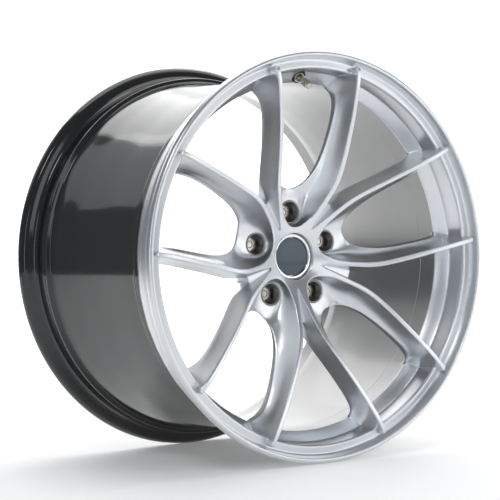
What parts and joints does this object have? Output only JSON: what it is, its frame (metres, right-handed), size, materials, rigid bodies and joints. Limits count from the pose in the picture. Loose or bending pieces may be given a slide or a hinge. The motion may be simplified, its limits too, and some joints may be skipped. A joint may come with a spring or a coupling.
{
  "type": "racing wheel rim",
  "caption": "Deep forged racing wheel rim with paired slender spokes, stepped outer lip, recessed wheel nuts, snap-in centre cap and an angled tyre valve.",
  "frame": {"origin": "on the wheel's axis, midway between the outermost front and rear faces, which is also midway between the flanges", "axes": "+Y along the wheel's axis towards the car (the outboard face looks towards -Y), +Z from the axis through lug 1 and the tyre valve, +X to the right seen from outboard"},
  "size_m": [0.5176, 0.3316, 0.5176],
  "materials": {
    "silver_paint": "bright silver metallic lacquer over forged aluminium",
    "gloss_black_paint": "gloss black paint outside, silver lacquer inside",
    "chrome_trim": "polished chrome",
    "cap_face_paint": "satin blue-grey disc, plain",
    "black_plastic": "moulded black plastic",
    "spring_steel": "bright steel",
    "insert_steel": "dark satin steel",
    "nut_titanium": "warm satin metal",
    "nickel_plate": "nickel plate",
    "valve_brass": "brass",
    "seal_rubber": "matt black rubber"
  },
  "bodies": {
    "wheel": {"spoked_centre": "silver_paint", "rim_barrel": "gloss_black_paint", "lug_insert_1": "insert_steel", "lug_insert_2": "insert_steel", "lug_insert_3": "insert_steel", "lug_insert_4": "insert_steel", "lug_insert_5": "insert_steel", "valve_stem": "nickel_plate", "valve_inner_seal": "seal_rubber", "valve_grommet": "seal_rubber", "valve_washer": "nickel_plate", "valve_nut": "nickel_plate", "valve_core": "valve_brass"},
    "centre_cap": {"cap_bezel": "chrome_trim", "cap_disc": "cap_face_paint", "cap_carrier": "black_plastic", "cap_spring": "spring_steel"},
    "lug_washer_1": {"lug_washer_1": "spring_steel"},
    "lug_nut_1": {"lug_nut_1": "nut_titanium"},
    "lug_washer_2": {"lug_washer_2": "spring_steel"},
    "lug_nut_2": {"lug_nut_2": "nut_titanium"},
    "lug_washer_3": {"lug_washer_3": "spring_steel"},
    "lug_nut_3": {"lug_nut_3": "nut_titanium"},
    "lug_washer_4": {"lug_washer_4": "spring_steel"},
    "lug_nut_4": {"lug_nut_4": "nut_titanium"},
    "lug_washer_5": {"lug_washer_5": "spring_steel"},
    "lug_nut_5": {"lug_nut_5": "nut_titanium"},
    "valve_cap_seal": {"valve_cap_seal": "seal_rubber"},
    "valve_cap": {"valve_cap": "nickel_plate"},
    "valve_pin": {"valve_pin": "valve_brass"}
  },
  "joints": [
    {"name": "cap_pull_out", "type": "slide", "parent": "wheel", "child": "centre_cap", "axis": [0, -1, 0], "range_m": [0, 0.045]},
    {"name": "lug_travel_1", "type": "slide", "parent": "wheel", "child": "lug_washer_1", "axis": [0, -1, 0], "range_m": [0, 0.03]},
    {"name": "lug_turn_1", "type": "hinge", "parent": "lug_washer_1", "child": "lug_nut_1", "pos_m": [0, -0.07085, 0.05715], "axis": [0, -1, 0], "range_deg": [0, 7201]},
    {"name": "lug_travel_2", "type": "slide", "parent": "wheel", "child": "lug_washer_2", "axis": [0, -1, 0], "range_m": [0, 0.03]},
    {"name": "lug_turn_2", "type": "hinge", "parent": "lug_washer_2", "child": "lug_nut_2", "pos_m": [-0.05435, -0.07085, 0.01766], "axis": [0, -1, 0], "range_deg": [0, 7201]},
    {"name": "lug_travel_3", "type": "slide", "parent": "wheel", "child": "lug_washer_3", "axis": [0, -1, 0], "range_m": [0, 0.03]},
    {"name": "lug_turn_3", "type": "hinge", "parent": "lug_washer_3", "child": "lug_nut_3", "pos_m": [-0.03359, -0.07085, -0.04623], "axis": [0, -1, 0], "range_deg": [0, 7201]},
    {"name": "lug_travel_4", "type": "slide", "parent": "wheel", "child": "lug_washer_4", "axis": [0, -1, 0], "range_m": [0, 0.03]},
    {"name": "lug_turn_4", "type": "hinge", "parent": "lug_washer_4", "child": "lug_nut_4", "pos_m": [0.03359, -0.07085, -0.04623], "axis": [0, -1, 0], "range_deg": [0, 7201]},
    {"name": "lug_travel_5", "type": "slide", "parent": "wheel", "child": "lug_washer_5", "axis": [0, -1, 0], "range_m": [0, 0.03]},
    {"name": "lug_turn_5", "type": "hinge", "parent": "lug_washer_5", "child": "lug_nut_5", "pos_m": [0.05435, -0.07085, 0.01766], "axis": [0, -1, 0], "range_deg": [0, 7201]},
    {"name": "valve_cap_travel", "type": "slide", "parent": "wheel", "child": "valve_cap_seal", "axis": [0, -0.866, -0.5], "range_m": [0, 0.01191]},
    {"name": "valve_cap_turn", "type": "hinge", "parent": "valve_cap_seal", "child": "valve_cap", "pos_m": [0, -0.11975, 0.2276], "axis": [0, -0.866, -0.5], "range_deg": [0, 5401]},
    {"name": "valve_pin_press", "type": "slide", "parent": "wheel", "child": "valve_pin", "axis": [0, 0.866, 0.5], "range_m": [0, 0.001], "stiffness_N_per_m": 1500}
  ],
  "couplings": [
    {"joint": "lug_turn_1", "follows": "lug_travel_1", "rad_per_m": 4188.8},
    {"joint": "lug_turn_2", "follows": "lug_travel_2", "rad_per_m": 4188.8},
    {"joint": "lug_turn_3", "follows": "lug_travel_3", "rad_per_m": 4188.8},
    {"joint": "lug_turn_4", "follows": "lug_travel_4", "rad_per_m": 4188.8},
    {"joint": "lug_turn_5", "follows": "lug_travel_5", "rad_per_m": 4188.8},
    {"joint": "valve_cap_turn", "follows": "valve_cap_travel", "rad_per_m": 7913.3}
  ]
}
